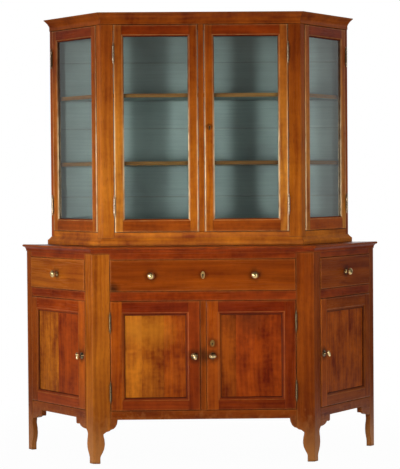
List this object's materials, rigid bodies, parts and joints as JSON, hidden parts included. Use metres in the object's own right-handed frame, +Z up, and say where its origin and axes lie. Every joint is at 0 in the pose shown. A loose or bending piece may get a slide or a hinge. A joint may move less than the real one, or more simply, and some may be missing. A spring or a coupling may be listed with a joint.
{
  "type": "glazed credenza",
  "caption": "Two-part wooden credenza with canted corners: a glazed hutch with shelves over a base with drawers and panelled cupboard doors on bracket feet.",
  "frame": {"origin": "on the floor, below the middle of the piece's overall width and depth", "axes": "+Z up, +X to the viewer's right, +Y from the front towards the wall"},
  "size_m": [1.7088, 0.5368, 2.0576],
  "materials": {
    "cherry_wood": "satin shellac",
    "plain_wood": "unfinished",
    "painted_wood": "matt paint",
    "aged_brass": "aged polish",
    "clear_glass": "polished"
  },
  "bodies": {
    "carcass": {"post_front_left": "cherry_wood", "post_front_right": "cherry_wood", "post_rear_left": "cherry_wood", "post_rear_right": "cherry_wood", "apron_front": "cherry_wood", "apron_left": "cherry_wood", "apron_right": "cherry_wood", "base_bottom": "plain_wood", "base_back": "plain_wood", "base_centre_post": "cherry_wood", "drawer_deck": "cherry_wood", "base_top": "cherry_wood", "hutch_plinth": "cherry_wood", "hutch_post_left": "cherry_wood", "hutch_post_right": "cherry_wood", "hutch_centre_post": "cherry_wood", "hutch_back": "painted_wood", "hutch_cornice": "cherry_wood", "shelf_lower": "painted_wood", "shelf_upper": "painted_wood", "hinge_upper_left_front_bottom": "aged_brass", "hinge_upper_left_front_top": "aged_brass", "hinge_upper_left_side_bottom": "aged_brass", "hinge_upper_left_side_top": "aged_brass", "hinge_upper_right_front_bottom": "aged_brass", "hinge_upper_right_front_top": "aged_brass", "hinge_upper_right_side_bottom": "aged_brass", "hinge_upper_right_side_top": "aged_brass", "hinge_lower_left_front_bottom": "aged_brass", "hinge_lower_left_front_top": "aged_brass", "hinge_lower_right_front_bottom": "aged_brass", "hinge_lower_right_front_top": "aged_brass"},
    "upper_door_left_front": {"upper_door_frame_left_front": "cherry_wood", "upper_door_glass_left_front": "clear_glass"},
    "upper_door_left_side": {"upper_door_frame_left_side": "cherry_wood", "upper_door_glass_left_side": "clear_glass"},
    "upper_door_right_front": {"upper_door_frame_right_front": "cherry_wood", "upper_door_glass_right_front": "clear_glass"},
    "upper_door_right_side": {"upper_door_frame_right_side": "cherry_wood", "upper_door_glass_right_side": "clear_glass"},
    "lower_door_left_front": {"lower_door_frame_left_front": "cherry_wood", "lower_door_panel_left_front": "cherry_wood"},
    "lower_door_left_side": {"lower_door_frame_left_side": "cherry_wood", "lower_door_panel_left_side": "cherry_wood"},
    "lower_door_right_front": {"lower_door_frame_right_front": "cherry_wood", "lower_door_panel_right_front": "cherry_wood"},
    "lower_door_right_side": {"lower_door_frame_right_side": "cherry_wood", "lower_door_panel_right_side": "cherry_wood"},
    "turn_latch_left_front": {"turn_knob_left_front": "aged_brass"},
    "turn_latch_left_side": {"turn_knob_left_side": "aged_brass"},
    "turn_latch_right_front": {"turn_knob_right_front": "aged_brass"},
    "turn_latch_right_side": {"turn_knob_right_side": "aged_brass"},
    "middle_drawer": {"drawer_middle": "cherry_wood", "drawer_knob_middle_left": "aged_brass", "drawer_knob_middle_right": "aged_brass"},
    "left_drawer": {"drawer_left": "cherry_wood", "drawer_knob_left": "aged_brass"},
    "right_drawer": {"drawer_right": "cherry_wood", "drawer_knob_right": "aged_brass"}
  },
  "joints": [
    {"name": "upper_left_front_hinge", "type": "hinge", "parent": "carcass", "child": "upper_door_left_front", "pos_m": [-0.401, -0.1271, 1.0511], "axis": [0, 0, -1], "range_deg": [0, 110]},
    {"name": "upper_left_side_hinge", "type": "hinge", "parent": "carcass", "child": "upper_door_left_side", "pos_m": [-0.70604, 0.242, 1.0511], "axis": [0, 0, -1], "range_deg": [0, 100]},
    {"name": "upper_right_front_hinge", "type": "hinge", "parent": "carcass", "child": "upper_door_right_front", "pos_m": [0.401, -0.1271, 1.0511], "axis": [0, 0, 1], "range_deg": [0, 110]},
    {"name": "upper_right_side_hinge", "type": "hinge", "parent": "carcass", "child": "upper_door_right_side", "pos_m": [0.70604, 0.242, 1.0511], "axis": [0, 0, 1], "range_deg": [0, 100]},
    {"name": "lower_left_front_hinge", "type": "hinge", "parent": "carcass", "child": "lower_door_left_front", "pos_m": [-0.423, -0.2401, 0.2415], "axis": [0, 0, -1], "range_deg": [0, 110]},
    {"name": "lower_left_side_hinge", "type": "hinge", "parent": "carcass", "child": "lower_door_left_side", "pos_m": [-0.80087, 0.22519, 0.2415], "axis": [0, 0, -1], "range_deg": [0, 100]},
    {"name": "lower_right_front_hinge", "type": "hinge", "parent": "carcass", "child": "lower_door_right_front", "pos_m": [0.423, -0.2401, 0.2415], "axis": [0, 0, 1], "range_deg": [0, 110]},
    {"name": "lower_right_side_hinge", "type": "hinge", "parent": "carcass", "child": "lower_door_right_side", "pos_m": [0.80087, 0.22519, 0.2415], "axis": [0, 0, 1], "range_deg": [0, 100]},
    {"name": "left_front_latch", "type": "hinge", "parent": "lower_door_left_front", "child": "turn_latch_left_front", "pos_m": [-0.041, -0.2351, 0.4885], "axis": [0, -1, 0], "range_deg": [-90, 0]},
    {"name": "left_side_latch", "type": "hinge", "parent": "lower_door_left_side", "child": "turn_latch_left_side", "pos_m": [-0.55596, -0.16039, 0.4885], "axis": [-0.8358, -0.549, 0], "range_deg": [-90, 0]},
    {"name": "right_front_latch", "type": "hinge", "parent": "lower_door_right_front", "child": "turn_latch_right_front", "pos_m": [0.041, -0.2351, 0.4885], "axis": [0, -1, 0], "range_deg": [0, 90]},
    {"name": "right_side_latch", "type": "hinge", "parent": "lower_door_right_side", "child": "turn_latch_right_side", "pos_m": [0.55596, -0.16039, 0.4885], "axis": [0.8358, -0.549, 0], "range_deg": [0, 90]},
    {"name": "middle_drawer_slide", "type": "slide", "parent": "carcass", "child": "middle_drawer", "axis": [0, -1, 0], "range_m": [0, 0.33]},
    {"name": "left_drawer_slide", "type": "slide", "parent": "carcass", "child": "left_drawer", "axis": [-0.8358, -0.549, 0], "range_m": [0, 0.16]},
    {"name": "right_drawer_slide", "type": "slide", "parent": "carcass", "child": "right_drawer", "axis": [0.8358, -0.549, 0], "range_m": [0, 0.16]}
  ]
}
